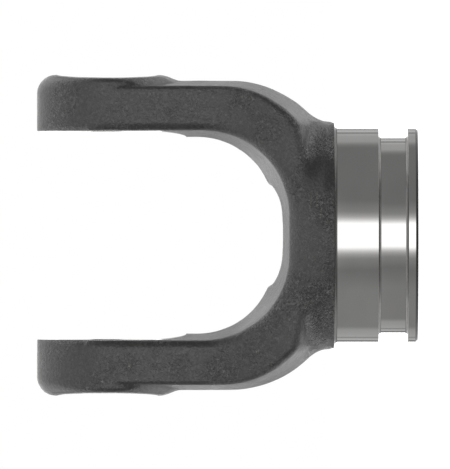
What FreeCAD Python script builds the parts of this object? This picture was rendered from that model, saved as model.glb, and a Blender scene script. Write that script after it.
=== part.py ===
# Forged yoke of a drive shaft: two ears with a cross bore, a U-shaped forged body with draft on both sides of
# its parting plane, a round forged collar and a turned hub that a drive tube is pressed over and welded to.
# One steel forging, machined in places, so it is one solid.
#
# Frame (millimetres): the shaft axis is +Z and the hub's end face lies on Z = 0; the cross-bore axis runs along
# X at height bore_height; the parting plane of the forging is Y = 0.
import FreeCAD, Part
import math
import os

import Sketcher

V = FreeCAD.Vector
os.makedirs("parts", exist_ok=True)
doc = FreeCAD.newDocument("forged_yoke")

# ------------------------------------------------------------------------------------------------ dimensions
DIMS = [
    # name, value (mm or degrees), what it is
    ("bore_height", 85.68, "cross-bore axis above the hub end face"),
    ("bore_rad", 13.494, "cross bore radius (27.0 mm bearing cup)"),
    ("bore_break", 0.45, "edge break of the cross bore"),
    ("ring_inner", 40.88, "snap-ring groove, face nearer the shaft axis"),
    ("ring_width", 1.60, "snap-ring groove width"),
    ("ring_rad", 14.35, "snap-ring groove radius"),
    ("spot_face", 28.80, "machined inner ear face from the shaft axis"),
    ("spot_rad", 21.72, "radius of the machined inner ear face"),
    ("ear_rad", 19.56, "ear radius about the cross bore"),
    ("ear_crest", 44.44, "top of the ear at the parting plane"),
    ("ear_draft", 3.6, "draft of the ear top, degrees"),
    ("ear_round", 5.26, "edge rounding of the ear top at its tip and at its foot"),
    ("ear_round_side", 1.25, "edge rounding of the ear top beside the bore"),
    ("side_plane", 25.2, "depth at which the body's side profile is drawn"),
    ("side_ramp_top", 60.0, "height where the flat sides start to flare to the collar"),
    ("side_ramp_end", 28.0, "height where the flare has reached side_reach"),
    ("side_reach", 25.19, "depth of the body's flat side below the flare"),
    ("side_ramp_rad", 50.0, "hollow radius at the start of that flare"),
    ("in_p", 27.13, "inner arm face at the parting plane"),
    ("in_s", 29.67, "inner arm face at side_plane"),
    ("in_round_p", 20.89, "inner corner radius at the parting plane"),
    ("in_round_s", 23.64, "inner corner radius at side_plane"),
    ("floor_p", 39.81, "bottom of the U at the parting plane"),
    ("floor_s", 35.38, "bottom of the U at side_plane"),
    ("out_p", 42.84, "outer arm face at the parting plane"),
    ("out_s", 40.70, "outer arm face at side_plane"),
    ("shoulder_p", 31.17, "outer shoulder radius at the parting plane"),
    ("shoulder_p_height", 51.90, "height of that radius's centre"),
    ("flare_rad", 11.07, "concave flare into the collar at the parting plane"),
    ("flare_bite", 0.15, "how far the flare runs into the collar"),
    ("flare_end", 24.30, "height where the flare ends on the collar"),
    ("shoulder_s", 28.5, "outer shoulder radius at side_plane"),
    ("shoulder_s_height", 54.56, "height of that radius's centre"),
    ("shoulder_s_end", 35.3, "height where the shoulder radius ends"),
    ("heel_rad", 6.5, "heel radius below the shoulder at side_plane"),
    ("heel_low", 29.1, "lowest point of the side profile"),
    ("edge_in", 2.2, "rounding along the inner side edge"),
    ("edge_out", 1.1, "rounding along the outer side edge of the arms"),
    ("edge_heel", 3.0, "the same rounding below the shoulder"),
    ("collar_rad", 31.26, "forged collar radius"),
    ("collar_low", 23.13, "collar face towards the tube"),
    ("collar_high", 28.9, "top of the collar's straight side"),
    ("collar_crown_rad", 24.3, "radius where the collar's crown meets the body"),
    ("collar_crown", 34.75, "height of the collar's crown"),
    ("collar_round", 3.0, "rounding of the collar's upper edge"),
    ("pilot_rad", 29.64, "turned pilot radius"),
    ("pilot_high", 22.30, "top of the pilot's straight side"),
    ("root_rad", 0.65, "fillet at the pilot's root"),
    ("neck_rad", 27.06, "neck radius between pilot and end flange"),
    ("neck_high", 10.82, "top of the neck"),
    ("neck_low", 2.74, "bottom of the neck"),
    ("neck_fillet", 0.65, "fillets in the neck"),
    ("flange_rad", 29.62, "end flange radius"),
    ("flange_chamfer", 0.67, "chamfer of the end flange"),
    ("cavity_mouth", 22.0, "radius of the hub's cavity at its mouth"),
    ("cavity_break", 1.0, "edge break at the mouth"),
    ("cavity_top_rad", 20.8, "radius of the cavity at its floor"),
    ("cavity_depth", 25.0, "depth of the cavity"),
    ("cavity_fillet", 5.0, "rounding between the cavity's wall and floor"),
    ("hole_rad", 13.47, "hole through the bottom of the U, on the shaft axis"),
    ("hole_round", 1.4, "rounding of that hole's rim inside the U"),
]
D = {}
sheet = doc.addObject("Spreadsheet::Sheet", "dims")
for row, (name, value, note) in enumerate(DIMS, start=1):
    sheet.set("A%d" % row, name)
    sheet.set("B%d" % row, "%.6g" % value)
    sheet.set("C%d" % row, note)
    sheet.setAlias("B%d" % row, name)
    D[name] = value
doc.recompute()

DEG = math.radians


# ------------------------------------------------------------------------------------------------- small tools
def origin_plane(body, role):
    for feature in body.Origin.OriginFeatures:
        if feature.Role == role:
            return feature
    raise RuntimeError("no origin plane " + role)


def new_sketch(body, name, role):
    sk = body.newObject("Sketcher::SketchObject", name)
    sk.AttachmentSupport = [(origin_plane(body, role), "")]
    sk.MapMode = "FlatFace"
    return sk


def line(sk, a, b):
    return sk.addGeometry(Part.LineSegment(V(a[0], a[1], 0), V(b[0], b[1], 0)), False)


def arc(sk, centre, radius, start_deg, end_deg):
    circle = Part.Circle(V(centre[0], centre[1], 0), V(0, 0, 1), radius)
    return sk.addGeometry(Part.ArcOfCircle(circle, DEG(start_deg), DEG(end_deg)), False)


def rule(sk, kind, *args):
    return sk.addConstraint(Sketcher.Constraint(kind, *args))


def size(sk, kind, args, value, expression, name):
    index = sk.addConstraint(Sketcher.Constraint(kind, *args, value))
    sk.renameConstraint(index, name)
    sk.setExpression("Constraints." + name, expression)


def settle(sk):
    doc.recompute()
    if sk.solve() != 0:
        raise RuntimeError("sketch does not solve: " + sk.Label)


def points(edge):
    a, b = edge.FirstParameter, edge.LastParameter
    return [edge.valueAt(a + (b - a) * f) for f in (0.1, 0.5, 0.9)]


# ------------------------------------------------- a quarter of the U-shaped body (X >= 0, Y <= 0), with draft
# Its wall is ruled between two profiles: one in the parting plane and one at depth side_plane.
body_u = doc.addObject("PartDesign::Body", "u_quarter")

sk_p = new_sketch(body_u, "parting_profile", "XZ_Plane")
inner_cx, inner_cz = D["in_p"] - D["in_round_p"], D["floor_p"] + D["in_round_p"]
sh_cx, sh_cz = D["out_p"] - D["shoulder_p"], D["shoulder_p_height"]
fl_cx = D["collar_rad"] - D["flare_bite"] + D["flare_rad"]
fl_dist = D["shoulder_p"] + D["flare_rad"]
fl_cz = sh_cz - math.sqrt(fl_dist ** 2 - (fl_cx - sh_cx) ** 2)
turn = math.degrees(math.atan2(sh_cz - fl_cz, fl_cx - sh_cx))
end_ang = 180.0 - math.degrees(math.asin((D["flare_end"] - fl_cz) / D["flare_rad"]))
flare_foot = (fl_cx + D["flare_rad"] * math.cos(DEG(end_ang)), D["flare_end"])
g_floor = line(sk_p, (0, D["floor_p"]), (inner_cx, D["floor_p"]))
g_corner = arc(sk_p, (inner_cx, inner_cz), D["in_round_p"], -90, 0)
g_inner = line(sk_p, (D["in_p"], inner_cz), (D["in_p"], D["bore_height"]))
g_top = line(sk_p, (D["in_p"], D["bore_height"]), (D["out_p"], D["bore_height"]))
g_outer = line(sk_p, (D["out_p"], D["bore_height"]), (D["out_p"], sh_cz))
g_shoulder = arc(sk_p, (sh_cx, sh_cz), D["shoulder_p"], -turn, 0)
g_flare = arc(sk_p, (fl_cx, fl_cz), D["flare_rad"], 180.0 - turn, end_ang)
g_base = line(sk_p, flare_foot, (0, D["flare_end"]))
g_axis = line(sk_p, (0, D["flare_end"]), (0, D["floor_p"]))
rule(sk_p, "PointOnObject", g_floor, 1, -2)
rule(sk_p, "Horizontal", g_floor)
rule(sk_p, "Tangent", g_floor, 2, g_corner, 1)
rule(sk_p, "Tangent", g_corner, 2, g_inner, 1)
rule(sk_p, "Vertical", g_inner)
rule(sk_p, "Coincident", g_inner, 2, g_top, 1)
rule(sk_p, "Horizontal", g_top)
rule(sk_p, "Coincident", g_top, 2, g_outer, 1)
rule(sk_p, "Vertical", g_outer)
rule(sk_p, "Tangent", g_outer, 2, g_shoulder, 2)
rule(sk_p, "Tangent", g_shoulder, 1, g_flare, 1)
rule(sk_p, "Coincident", g_flare, 2, g_base, 1)
rule(sk_p, "Horizontal", g_base)
rule(sk_p, "PointOnObject", g_base, 2, -2)
rule(sk_p, "Coincident", g_base, 2, g_axis, 1)
rule(sk_p, "Coincident", g_axis, 2, g_floor, 1)
size(sk_p, "DistanceY", (g_floor, 1), D["floor_p"], "dims.floor_p", "floor_level")
size(sk_p, "Radius", (g_corner,), D["in_round_p"], "dims.in_round_p", "corner_radius")
size(sk_p, "DistanceX", (g_inner, 2), D["in_p"], "dims.in_p", "inner_face")
size(sk_p, "DistanceY", (g_top, 2), D["bore_height"], "dims.bore_height", "top_level")
size(sk_p, "DistanceX", (g_outer, 1), D["out_p"], "dims.out_p", "outer_face")
size(sk_p, "Radius", (g_shoulder,), D["shoulder_p"], "dims.shoulder_p", "shoulder_radius")
size(sk_p, "DistanceY", (g_outer, 2), sh_cz, "dims.shoulder_p_height", "shoulder_level")
size(sk_p, "Radius", (g_flare,), D["flare_rad"], "dims.flare_rad", "flare_radius")
size(sk_p, "DistanceX", (g_flare, 3), fl_cx, "dims.collar_rad - dims.flare_bite + dims.flare_rad", "flare_place")
size(sk_p, "DistanceY", (g_flare, 2), D["flare_end"], "dims.flare_end", "flare_level")
settle(sk_p)

sk_s = new_sketch(body_u, "side_profile", "XZ_Plane")
sk_s.AttachmentOffset = FreeCAD.Placement(V(0, 0, D["side_plane"]), FreeCAD.Rotation())
sk_s.setExpression("AttachmentOffset.Base.z", "dims.side_plane")
ic_x, ic_z = D["in_s"] - D["in_round_s"], D["floor_s"] + D["in_round_s"]
a_x, a_z = D["out_s"] - D["shoulder_s"], D["shoulder_s_height"]
a_ang = math.degrees(math.asin((a_z - D["shoulder_s_end"]) / D["shoulder_s"]))
b_x = a_x + (D["shoulder_s"] - D["heel_rad"]) * math.cos(DEG(a_ang))
b_z = a_z - (D["shoulder_s"] - D["heel_rad"]) * math.sin(DEG(a_ang))
# the heel arc runs into a large arc centred on the shaft axis, whose lowest point is heel_low
q = b_z - D["heel_low"]
big = (b_x ** 2 + q ** 2 - D["heel_rad"] ** 2) / (2.0 * (q - D["heel_rad"]))
c_z = D["heel_low"] + big
c_ang = math.degrees(math.atan2(b_z - c_z, b_x))
h_floor = line(sk_s, (0, D["floor_s"]), (ic_x, D["floor_s"]))
h_corner = arc(sk_s, (ic_x, ic_z), D["in_round_s"], -90, 0)
h_inner = line(sk_s, (D["in_s"], ic_z), (D["in_s"], D["bore_height"]))
h_top = line(sk_s, (D["in_s"], D["bore_height"]), (D["out_s"], D["bore_height"]))
h_outer = line(sk_s, (D["out_s"], D["bore_height"]), (D["out_s"], a_z))
h_shoulder = arc(sk_s, (a_x, a_z), D["shoulder_s"], -a_ang, 0)
h_heel = arc(sk_s, (b_x, b_z), D["heel_rad"], c_ang, -a_ang)
h_sole = arc(sk_s, (0, c_z), big, -90, c_ang)
h_axis = line(sk_s, (0, D["heel_low"]), (0, D["floor_s"]))
rule(sk_s, "PointOnObject", h_floor, 1, -2)
rule(sk_s, "Horizontal", h_floor)
rule(sk_s, "Tangent", h_floor, 2, h_corner, 1)
rule(sk_s, "Tangent", h_corner, 2, h_inner, 1)
rule(sk_s, "Vertical", h_inner)
rule(sk_s, "Coincident", h_inner, 2, h_top, 1)
rule(sk_s, "Horizontal", h_top)
rule(sk_s, "Coincident", h_top, 2, h_outer, 1)
rule(sk_s, "Vertical", h_outer)
rule(sk_s, "Tangent", h_outer, 2, h_shoulder, 2)
rule(sk_s, "Tangent", h_shoulder, 1, h_heel, 2)
rule(sk_s, "Tangent", h_heel, 1, h_sole, 2)
rule(sk_s, "PointOnObject", h_sole, 3, -2)
rule(sk_s, "PointOnObject", h_sole, 1, -2)
rule(sk_s, "Coincident", h_sole, 1, h_axis, 1)
rule(sk_s, "Coincident", h_axis, 2, h_floor, 1)
size(sk_s, "DistanceY", (h_floor, 1), D["floor_s"], "dims.floor_s", "floor_level")
size(sk_s, "Radius", (h_corner,), D["in_round_s"], "dims.in_round_s", "corner_radius")
size(sk_s, "DistanceX", (h_inner, 2), D["in_s"], "dims.in_s", "inner_face")
size(sk_s, "DistanceY", (h_top, 2), D["bore_height"], "dims.bore_height", "top_level")
size(sk_s, "DistanceX", (h_outer, 1), D["out_s"], "dims.out_s", "outer_face")
size(sk_s, "Radius", (h_shoulder,), D["shoulder_s"], "dims.shoulder_s", "shoulder_radius")
size(sk_s, "DistanceY", (h_outer, 2), a_z, "dims.shoulder_s_height", "shoulder_level")
size(sk_s, "DistanceY", (h_shoulder, 1), D["shoulder_s_end"], "dims.shoulder_s_end", "shoulder_end")
size(sk_s, "Radius", (h_heel,), D["heel_rad"], "dims.heel_rad", "heel_radius")
size(sk_s, "DistanceY", (h_sole, 1), D["heel_low"], "dims.heel_low", "heel_level")
settle(sk_s)

loft = body_u.newObject("PartDesign::AdditiveLoft", "drafted_body")
loft.Profile = sk_p
loft.Sections = [sk_s]
loft.Ruled = True
doc.recompute()

# The sides of the body: flat beside the arms, then flaring towards the collar in a hollow arc and a full one.
rise = D["side_reach"] - D["ear_rad"]
drop = D["side_ramp_top"] - D["side_ramp_end"]
ramp_ang = 2.0 * math.degrees(math.atan(rise / drop))
ramp_rad = D["side_ramp_rad"]
swell_rad = drop / math.sin(DEG(ramp_ang)) - ramp_rad
ramp_turn = D["side_ramp_top"] - ramp_rad * math.sin(DEG(ramp_ang))
sk_r = new_sketch(body_u, "side_relief", "YZ_Plane")
far = -45.0
r_flat = line(sk_r, (-D["ear_rad"], 95.0), (-D["ear_rad"], D["side_ramp_top"]))
r_ramp = arc(sk_r, (-D["ear_rad"] - ramp_rad, D["side_ramp_top"]), ramp_rad, -ramp_ang, 0)
r_swell = arc(sk_r, (-D["side_reach"] + swell_rad, D["side_ramp_end"]), swell_rad, 180.0 - ramp_ang, 180)
r_low = line(sk_r, (-D["side_reach"], D["side_ramp_end"]), (-D["side_reach"], 15.0))
r_bottom = line(sk_r, (-D["side_reach"], 15.0), (far, 15.0))
r_far = line(sk_r, (far, 15.0), (far, 95.0))
r_close = line(sk_r, (far, 95.0), (-D["ear_rad"], 95.0))
rule(sk_r, "Vertical", r_flat)
rule(sk_r, "Tangent", r_flat, 2, r_ramp, 2)
rule(sk_r, "Tangent", r_ramp, 1, r_swell, 1)
rule(sk_r, "Tangent", r_swell, 2, r_low, 1)
rule(sk_r, "Vertical", r_low)
rule(sk_r, "Coincident", r_low, 2, r_bottom, 1)
rule(sk_r, "Horizontal", r_bottom)
rule(sk_r, "Coincident", r_bottom, 2, r_far, 1)
rule(sk_r, "Vertical", r_far)
rule(sk_r, "Coincident", r_far, 2, r_close, 1)
rule(sk_r, "Horizontal", r_close)
rule(sk_r, "Coincident", r_close, 2, r_flat, 1)
size(sk_r, "DistanceX", (r_flat, 1), -D["ear_rad"], "-dims.ear_rad", "flat_side")
size(sk_r, "DistanceY", (r_flat, 1), 95.0, "dims.bore_height + 9.32", "above_arms")
size(sk_r, "DistanceY", (r_flat, 2), D["side_ramp_top"], "dims.side_ramp_top", "ramp_start")
size(sk_r, "Radius", (r_ramp,), ramp_rad, "dims.side_ramp_rad", "ramp_radius")
size(sk_r, "DistanceX", (r_low, 1), -D["side_reach"], "-dims.side_reach", "ramp_reach")
size(sk_r, "DistanceY", (r_low, 1), D["side_ramp_end"], "dims.side_ramp_end", "ramp_finish")
size(sk_r, "DistanceY", (r_low, 2), 15.0, "dims.side_ramp_end - 13", "below_body")
size(sk_r, "DistanceX", (r_far, 1), far, "-dims.side_reach - 19.81", "outside")
settle(sk_r)
volume_before = loft.Shape.Volume
relief = body_u.newObject("PartDesign::Pocket", "side_faces")
relief.Profile = sk_r
relief.Type = "ThroughAll"
relief.Midplane = True
doc.recompute()
if relief.Shape.Volume > volume_before - 100.0:
    raise RuntimeError("the side relief cut nothing")


def side_depth(z):
    if z >= D["side_ramp_top"]:
        return D["ear_rad"]
    if z >= ramp_turn:
        return D["ear_rad"] + ramp_rad - math.sqrt(ramp_rad ** 2 - (D["side_ramp_top"] - z) ** 2)
    if z >= D["side_ramp_end"]:
        return D["side_reach"] - swell_rad + math.sqrt(swell_rad ** 2 - (z - D["side_ramp_end"]) ** 2)
    return D["side_reach"]


def side_edges(shape, want_inner):
    found = []
    for index, edge in enumerate(shape.Edges, start=1):
        pts = points(edge)
        if any(abs(-p.y - side_depth(p.z)) > 2e-3 for p in pts):
            continue
        if all(abs(p.x) < 1e-4 for p in pts):
            continue
        # level lines: the bottom of the U is one of the inner edges, the others only part two of the flare's arcs
        if all(abs(p.z - pts[0].z) < 1e-6 for p in pts) and not (want_inner and 34.0 < pts[0].z < 37.0):
            continue
        mid = pts[1]
        inner = (mid.x < 28.0 and mid.z > 33.2) or (mid.x < 31.0 and mid.z > 34.0) or (mid.z > 58.0 and mid.x < 35.0)
        if inner == want_inner:
            found.append("Edge%d" % index)
    return found


inner_edges = side_edges(relief.Shape, True)
round_in = body_u.newObject("PartDesign::Fillet", "inner_edge_rounding")
round_in.Base = (relief, inner_edges)
round_in.Radius = D["edge_in"]
round_in.setExpression("Radius", "dims.edge_in")
body_u.Tip = round_in
doc.recompute()
# the outer side edge: its rounding grows round the shoulder
outer_edges = side_edges(round_in.Shape, False)
outer_radii = []
for name in outer_edges:
    edge = round_in.Shape.Edges[int(name[4:]) - 1]
    radii = []
    for end in (edge.valueAt(edge.FirstParameter), edge.valueAt(edge.LastParameter)):
        share = (a_z - end.z) / (a_z - D["shoulder_s_end"])
        radii.append(D["edge_out"] + (D["edge_heel"] - D["edge_out"]) * min(1.0, max(0.0, share)))
    outer_radii.append((int(name[4:]), radii[0], radii[1]))
    print("outer", [round(r, 2) for r in radii], [round(p.z, 1) for p in points(edge)], [round(p.x, 1) for p in points(edge)])
round_out = doc.addObject("Part::Fillet", "outer_edge_rounding")
round_out.Base = body_u
round_out.Edges = outer_radii
doc.recompute()
print("side edges", len(inner_edges), len(outer_edges), "volume", round(round_out.Shape.Volume, 1))

# ----------------------------------------------------------------------------------- a quarter: half of one ear
body_e = doc.addObject("PartDesign::Body", "ear_quarter")
sk_e = new_sketch(body_e, "ear_outline", "YZ_Plane")
# the half circle is drawn in pieces, because the rounding of the ear top changes from piece to piece
turns = [90, 100, 168, 192, 260, 270]
e_arcs = [arc(sk_e, (0, D["bore_height"]), D["ear_rad"], a, b) for a, b in zip(turns[:-1], turns[1:])]
e_line = line(sk_e, (0, D["bore_height"] - D["ear_rad"]), (0, D["bore_height"] + D["ear_rad"]))
for e_a, e_b in zip(e_arcs[:-1], e_arcs[1:]):
    rule(sk_e, "Tangent", e_a, 2, e_b, 1)
rule(sk_e, "Coincident", e_arcs[-1], 2, e_line, 1)
rule(sk_e, "Coincident", e_line, 2, e_arcs[0], 1)
rule(sk_e, "PointOnObject", e_arcs[0], 3, -2)
rule(sk_e, "PointOnObject", e_line, 1, -2)
rule(sk_e, "PointOnObject", e_line, 2, -2)
size(sk_e, "Radius", (e_arcs[0],), D["ear_rad"], "dims.ear_rad", "ear_radius")
size(sk_e, "DistanceY", (e_arcs[0], 3), D["bore_height"], "dims.bore_height", "ear_level")
for i, e_a in enumerate(e_arcs[:-1]):
    level = D["bore_height"] + D["ear_rad"] * math.sin(DEG(turns[i + 1]))
    size(sk_e, "DistanceY", (e_a, 2), level, "dims.bore_height + dims.ear_rad * sin(%d deg)" % turns[i + 1], "turn_%d" % i)
settle(sk_e)
ear = body_e.newObject("PartDesign::Pad", "ear")
ear.Profile = sk_e
ear.Refine = False
ear.Length = 47.0
ear.setExpression("Length", "dims.ear_crest + 2.44")
doc.recompute()
# the part of the pad nearer the shaft axis than the arm's inner face is taken away again
sk_g = new_sketch(body_e, "gap", "XZ_Plane")
gap = [line(sk_g, (-1, 60), (D["in_p"], 60)), line(sk_g, (D["in_p"], 60), (D["in_p"], 110)),
       line(sk_g, (D["in_p"], 110), (-1, 110)), line(sk_g, (-1, 110), (-1, 60))]
for i in range(4):
    rule(sk_g, "Coincident", gap[i], 2, gap[(i + 1) % 4], 1)
rule(sk_g, "Horizontal", gap[0])
rule(sk_g, "Vertical", gap[1])
rule(sk_g, "Horizontal", gap[2])
rule(sk_g, "Vertical", gap[3])
size(sk_g, "DistanceX", (gap[0], 1), -1.0, "-1", "behind_axis")
size(sk_g, "DistanceX", (gap[1], 1), D["in_p"], "dims.in_p", "inner_face")
size(sk_g, "DistanceY", (gap[0], 1), 60.0, "dims.bore_height - dims.ear_rad - 6.12", "below_ear")
size(sk_g, "DistanceY", (gap[2], 1), 110.0, "dims.bore_height + dims.ear_rad + 4.76", "above_ear")
settle(sk_g)
gap_cut = body_e.newObject("PartDesign::Pocket", "ear_gap")
gap_cut.Profile = sk_g
gap_cut.Refine = False
gap_cut.Type = "ThroughAll"
gap_cut.Midplane = True
doc.recompute()
# the top of the ear falls away from the parting plane by the draft angle
fall = math.tan(DEG(D["ear_draft"])) * 30.0
sk_t = new_sketch(body_e, "ear_top", "XY_Plane")
roof = [line(sk_t, (D["ear_crest"], 0), (D["ear_crest"] - fall, -30)),
        line(sk_t, (D["ear_crest"] - fall, -30), (60, -30)),
        line(sk_t, (60, -30), (60, 0)), line(sk_t, (60, 0), (D["ear_crest"], 0))]
for i in range(4):
    rule(sk_t, "Coincident", roof[i], 2, roof[(i + 1) % 4], 1)
rule(sk_t, "Horizontal", roof[1])
rule(sk_t, "Vertical", roof[2])
rule(sk_t, "PointOnObject", roof[0], 1, -1)
rule(sk_t, "PointOnObject", roof[2], 2, -1)
size(sk_t, "DistanceX", (roof[0], 1), D["ear_crest"], "dims.ear_crest", "crest")
size(sk_t, "DistanceX", (roof[0], 2), D["ear_crest"] - fall, "dims.ear_crest - 30 * tan(dims.ear_draft * 1 deg)", "fall")
size(sk_t, "DistanceY", (roof[0], 2), -30.0, "-30", "depth")
size(sk_t, "DistanceX", (roof[2], 1), 60.0, "60", "outside")
settle(sk_t)
top_cut = body_e.newObject("PartDesign::Pocket", "ear_top_draft")
top_cut.Profile = sk_t
top_cut.Refine = False
top_cut.Type = "ThroughAll"
top_cut.Midplane = True
doc.recompute()
rim = []
for index, edge in enumerate(top_cut.Shape.Edges, start=1):
    pts = points(edge)
    if pts[1].x > 40.0 and all(abs(math.hypot(p.y, p.z - D["bore_height"]) - D["ear_rad"]) < 1e-3 for p in pts):
        radii = []
        for end in (edge.valueAt(edge.FirstParameter), edge.valueAt(edge.LastParameter)):
            off_axis = math.degrees(math.atan2(-end.y, abs(end.z - D["bore_height"])))   # 0 at the tip, 90 at the side
            share = min(1.0, max(0.0, (off_axis - 10.0) / 68.0))
            radii.append(D["ear_round"] + (D["ear_round_side"] - D["ear_round"]) * share)
        rim.append((index, radii[0], radii[1]))
if len(rim) != len(e_arcs):
    raise RuntimeError("the ear's rim was not found")
ear_round = doc.addObject("Part::Fillet", "ear_top_rounding")
ear_round.Base = body_e
ear_round.Edges = rim
body_e.Tip = top_cut
doc.recompute()
print("ear edges", len(rim), "volume", round(ear_round.Shape.Volume, 1))

# ---------------------------------------------------------------------- collar and hub, turned about the shaft
body_h = doc.addObject("PartDesign::Body", "collar_and_hub")
sk_h = new_sketch(body_h, "hub_profile", "XZ_Plane")
r_c, z_lo, z_hi = D["collar_rad"], D["collar_low"], D["collar_high"]
k_in = D["collar_crown_rad"]
k_z = D["collar_crown"]
rr = D["root_rad"]
nf = D["neck_fillet"]
s = []
s.append(("L", (0, 0), (D["flange_rad"] - D["flange_chamfer"], 0)))
s.append(("L", s[-1][2], (D["flange_rad"], D["flange_chamfer"])))
s.append(("L", s[-1][2], (D["flange_rad"], D["neck_low"])))
s.append(("L", s[-1][2], (D["neck_rad"] + nf, D["neck_low"])))
s.append(("A", (D["neck_rad"] + nf, D["neck_low"] + nf), nf, 180, 270))
s.append(("L", (D["neck_rad"], D["neck_low"] + nf), (D["neck_rad"], D["neck_high"] - nf)))
s.append(("A", (D["neck_rad"] + nf, D["neck_high"] - nf), nf, 90, 180))
s.append(("L", (D["neck_rad"] + nf, D["neck_high"]), (D["pilot_rad"], D["neck_high"])))
s.append(("L", s[-1][2], (D["pilot_rad"], D["pilot_high"])))
s.append(("A", (D["pilot_rad"] + rr, D["pilot_high"]), rr, 90, 180))
s.append(("L", (D["pilot_rad"] + rr, D["pilot_high"] + rr), (r_c, z_lo)))
s.append(("L", s[-1][2], (r_c, z_hi)))
s.append(("L", s[-1][2], (k_in, k_z)))
s.append(("L", s[-1][2], (0, k_z)))
s.append(("L", s[-1][2], (0, 0)))
ids = []
for seg in s:
    if seg[0] == "L":
        ids.append(line(sk_h, seg[1], seg[2]))
    else:
        ids.append(arc(sk_h, seg[1], seg[2], seg[3], seg[4]))
(f0, f1, f2, f3, f4, f5, f6, f7, f8, f9, f10, f11, f12, f13, f14) = ids
rule(sk_h, "Coincident", f0, 1, -1, 1)
rule(sk_h, "Horizontal", f0)
rule(sk_h, "Coincident", f0, 2, f1, 1)
rule(sk_h, "Coincident", f1, 2, f2, 1)
rule(sk_h, "Vertical", f2)
rule(sk_h, "Coincident", f2, 2, f3, 1)
rule(sk_h, "Horizontal", f3)
rule(sk_h, "Tangent", f3, 2, f4, 2)
rule(sk_h, "Tangent", f4, 1, f5, 1)
rule(sk_h, "Vertical", f5)
rule(sk_h, "Tangent", f5, 2, f6, 2)
rule(sk_h, "Tangent", f6, 1, f7, 1)
rule(sk_h, "Horizontal", f7)
rule(sk_h, "Coincident", f7, 2, f8, 1)
rule(sk_h, "Vertical", f8)
rule(sk_h, "Tangent", f8, 2, f9, 2)
rule(sk_h, "Coincident", f9, 1, f10, 1)
rule(sk_h, "Coincident", f10, 2, f11, 1)
rule(sk_h, "Vertical", f11)
rule(sk_h, "Coincident", f11, 2, f12, 1)
rule(sk_h, "Coincident", f12, 2, f13, 1)
rule(sk_h, "Horizontal", f13)
rule(sk_h, "Coincident", f13, 2, f14, 1)
rule(sk_h, "PointOnObject", f14, 1, -2)
rule(sk_h, "Coincident", f14, 2, f0, 1)
size(sk_h, "DistanceX", (f2, 1), D["flange_rad"], "dims.flange_rad", "flange_radius")
size(sk_h, "DistanceX", (f0, 2), D["flange_rad"] - D["flange_chamfer"], "dims.flange_rad - dims.flange_chamfer", "chamfer_in")
size(sk_h, "DistanceY", (f2, 1), D["flange_chamfer"], "dims.flange_chamfer", "chamfer_up")
size(sk_h, "DistanceY", (f2, 2), D["neck_low"], "dims.neck_low", "neck_bottom")
size(sk_h, "DistanceX", (f5, 1), D["neck_rad"], "dims.neck_rad", "neck_radius")
size(sk_h, "Radius", (f4,), nf, "dims.neck_fillet", "neck_fillet_low")
size(sk_h, "Radius", (f6,), nf, "dims.neck_fillet", "neck_fillet_high")
size(sk_h, "DistanceY", (f7, 1), D["neck_high"], "dims.neck_high", "neck_top")
size(sk_h, "DistanceX", (f8, 1), D["pilot_rad"], "dims.pilot_rad", "pilot_radius")
size(sk_h, "DistanceY", (f8, 2), D["pilot_high"], "dims.pilot_high", "pilot_top")
size(sk_h, "Radius", (f9,), rr, "dims.root_rad", "root_radius")
size(sk_h, "DistanceX", (f9, 1), D["pilot_rad"] + rr, "dims.pilot_rad + dims.root_rad", "root_reach")
size(sk_h, "DistanceX", (f11, 1), r_c, "dims.collar_rad", "collar_radius")
size(sk_h, "DistanceY", (f11, 1), z_lo, "dims.collar_low", "collar_bottom")
size(sk_h, "DistanceY", (f11, 2), z_hi, "dims.collar_high", "collar_top")
size(sk_h, "DistanceX", (f12, 2), k_in, "dims.collar_crown_rad", "crown_radius")
size(sk_h, "DistanceY", (f12, 2), k_z, "dims.collar_crown", "crown_level")
settle(sk_h)
hub = body_h.newObject("PartDesign::Revolution", "hub")
hub.Profile = sk_h
hub.ReferenceAxis = (sk_h, ["V_Axis"])
hub.Angle = 360.0
doc.recompute()
crown = [i for i, e in enumerate(hub.Shape.Edges, start=1)
         if abs(e.BoundBox.ZMin - z_hi) < 1e-4 and abs(e.BoundBox.ZMax - z_hi) < 1e-4]
collar_round = body_h.newObject("PartDesign::Fillet", "collar_rounding")
collar_round.Base = (hub, ["Edge%d" % i for i in crown])
collar_round.Radius = D["collar_round"]
collar_round.setExpression("Radius", "dims.collar_round")
body_h.Tip = collar_round
doc.recompute()

# -------------------------------------------------------------------------------- the forging: four like quarters
quarter = doc.addObject("Part::MultiFuse", "quarter")
quarter.Shapes = [round_out, ear_round]
quarter.Refine = True
doc.recompute()
back = doc.addObject("Part::Mirroring", "quarter_behind")
back.Source = quarter
back.Base = V(0, 0, 0)
back.Normal = V(0, 1, 0)
half = doc.addObject("Part::MultiFuse", "half")
half.Shapes = [quarter, back]
half.Refine = True
doc.recompute()
left = doc.addObject("Part::Mirroring", "half_left")
left.Source = half
left.Base = V(0, 0, 0)
left.Normal = V(1, 0, 0)
doc.recompute()
forging = doc.addObject("Part::MultiFuse", "forging")
forging.Shapes = [half, left, body_h]
forging.Refine = True
doc.recompute()
print("forging", forging.Shape.isValid(), round(forging.Shape.Volume, 1), len(forging.Shape.Solids), len(forging.Shape.Faces))

# ------------------------------------------------------------------------------------------- what is machined
yoke = doc.addObject("PartDesign::Body", "forged_yoke")
yoke.Label = "forged_yoke"
yoke.BaseFeature = forging
doc.recompute()

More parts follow.
